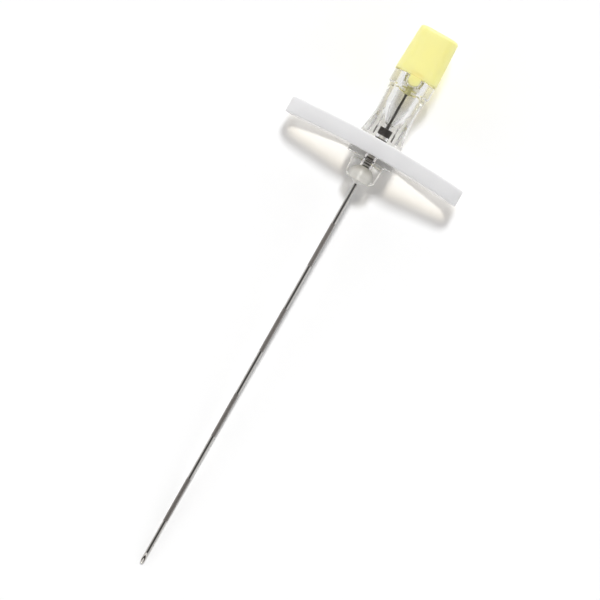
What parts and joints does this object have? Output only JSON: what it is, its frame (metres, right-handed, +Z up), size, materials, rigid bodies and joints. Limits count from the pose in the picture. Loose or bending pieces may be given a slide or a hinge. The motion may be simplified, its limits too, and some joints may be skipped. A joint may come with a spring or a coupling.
{
  "type": "epidural needle",
  "caption": "Winged epidural needle with a curved bevel tip, a centimetre-banded steel cannula, a clear keyed hub and a pull-out stylet with a yellow cap.",
  "frame": {"origin": "centre of the footprint on the table, at table height", "axes": "+X along the table from the stylet cap towards the tip, +Y across along the wing, +Z up"},
  "size_m": [0.1242, 0.0398, 0.0115],
  "materials": {
    "cannula_steel": "polished, with matte etched centimetre bands",
    "sleeve_steel": "turned",
    "clear_hub": "clear moulded",
    "frosted_wing": "frosted moulded",
    "epoxy": "cured, slightly cloudy",
    "wire_steel": "drawn",
    "yellow_cap": "moulded, satin"
  },
  "bodies": {
    "needle": {"cannula": "cannula_steel", "anchor_sleeve": "sleeve_steel", "hub": "clear_hub", "wing": "frosted_wing", "adhesive": "epoxy"},
    "stylet": {"stylet_wire": "wire_steel", "stylet_cap": "yellow_cap"}
  },
  "joints": [
    {"name": "stylet_slide", "type": "slide", "parent": "needle", "child": "stylet", "axis": [-0.9984, 0, 0.056], "range_m": [0, 0.12]}
  ]
}
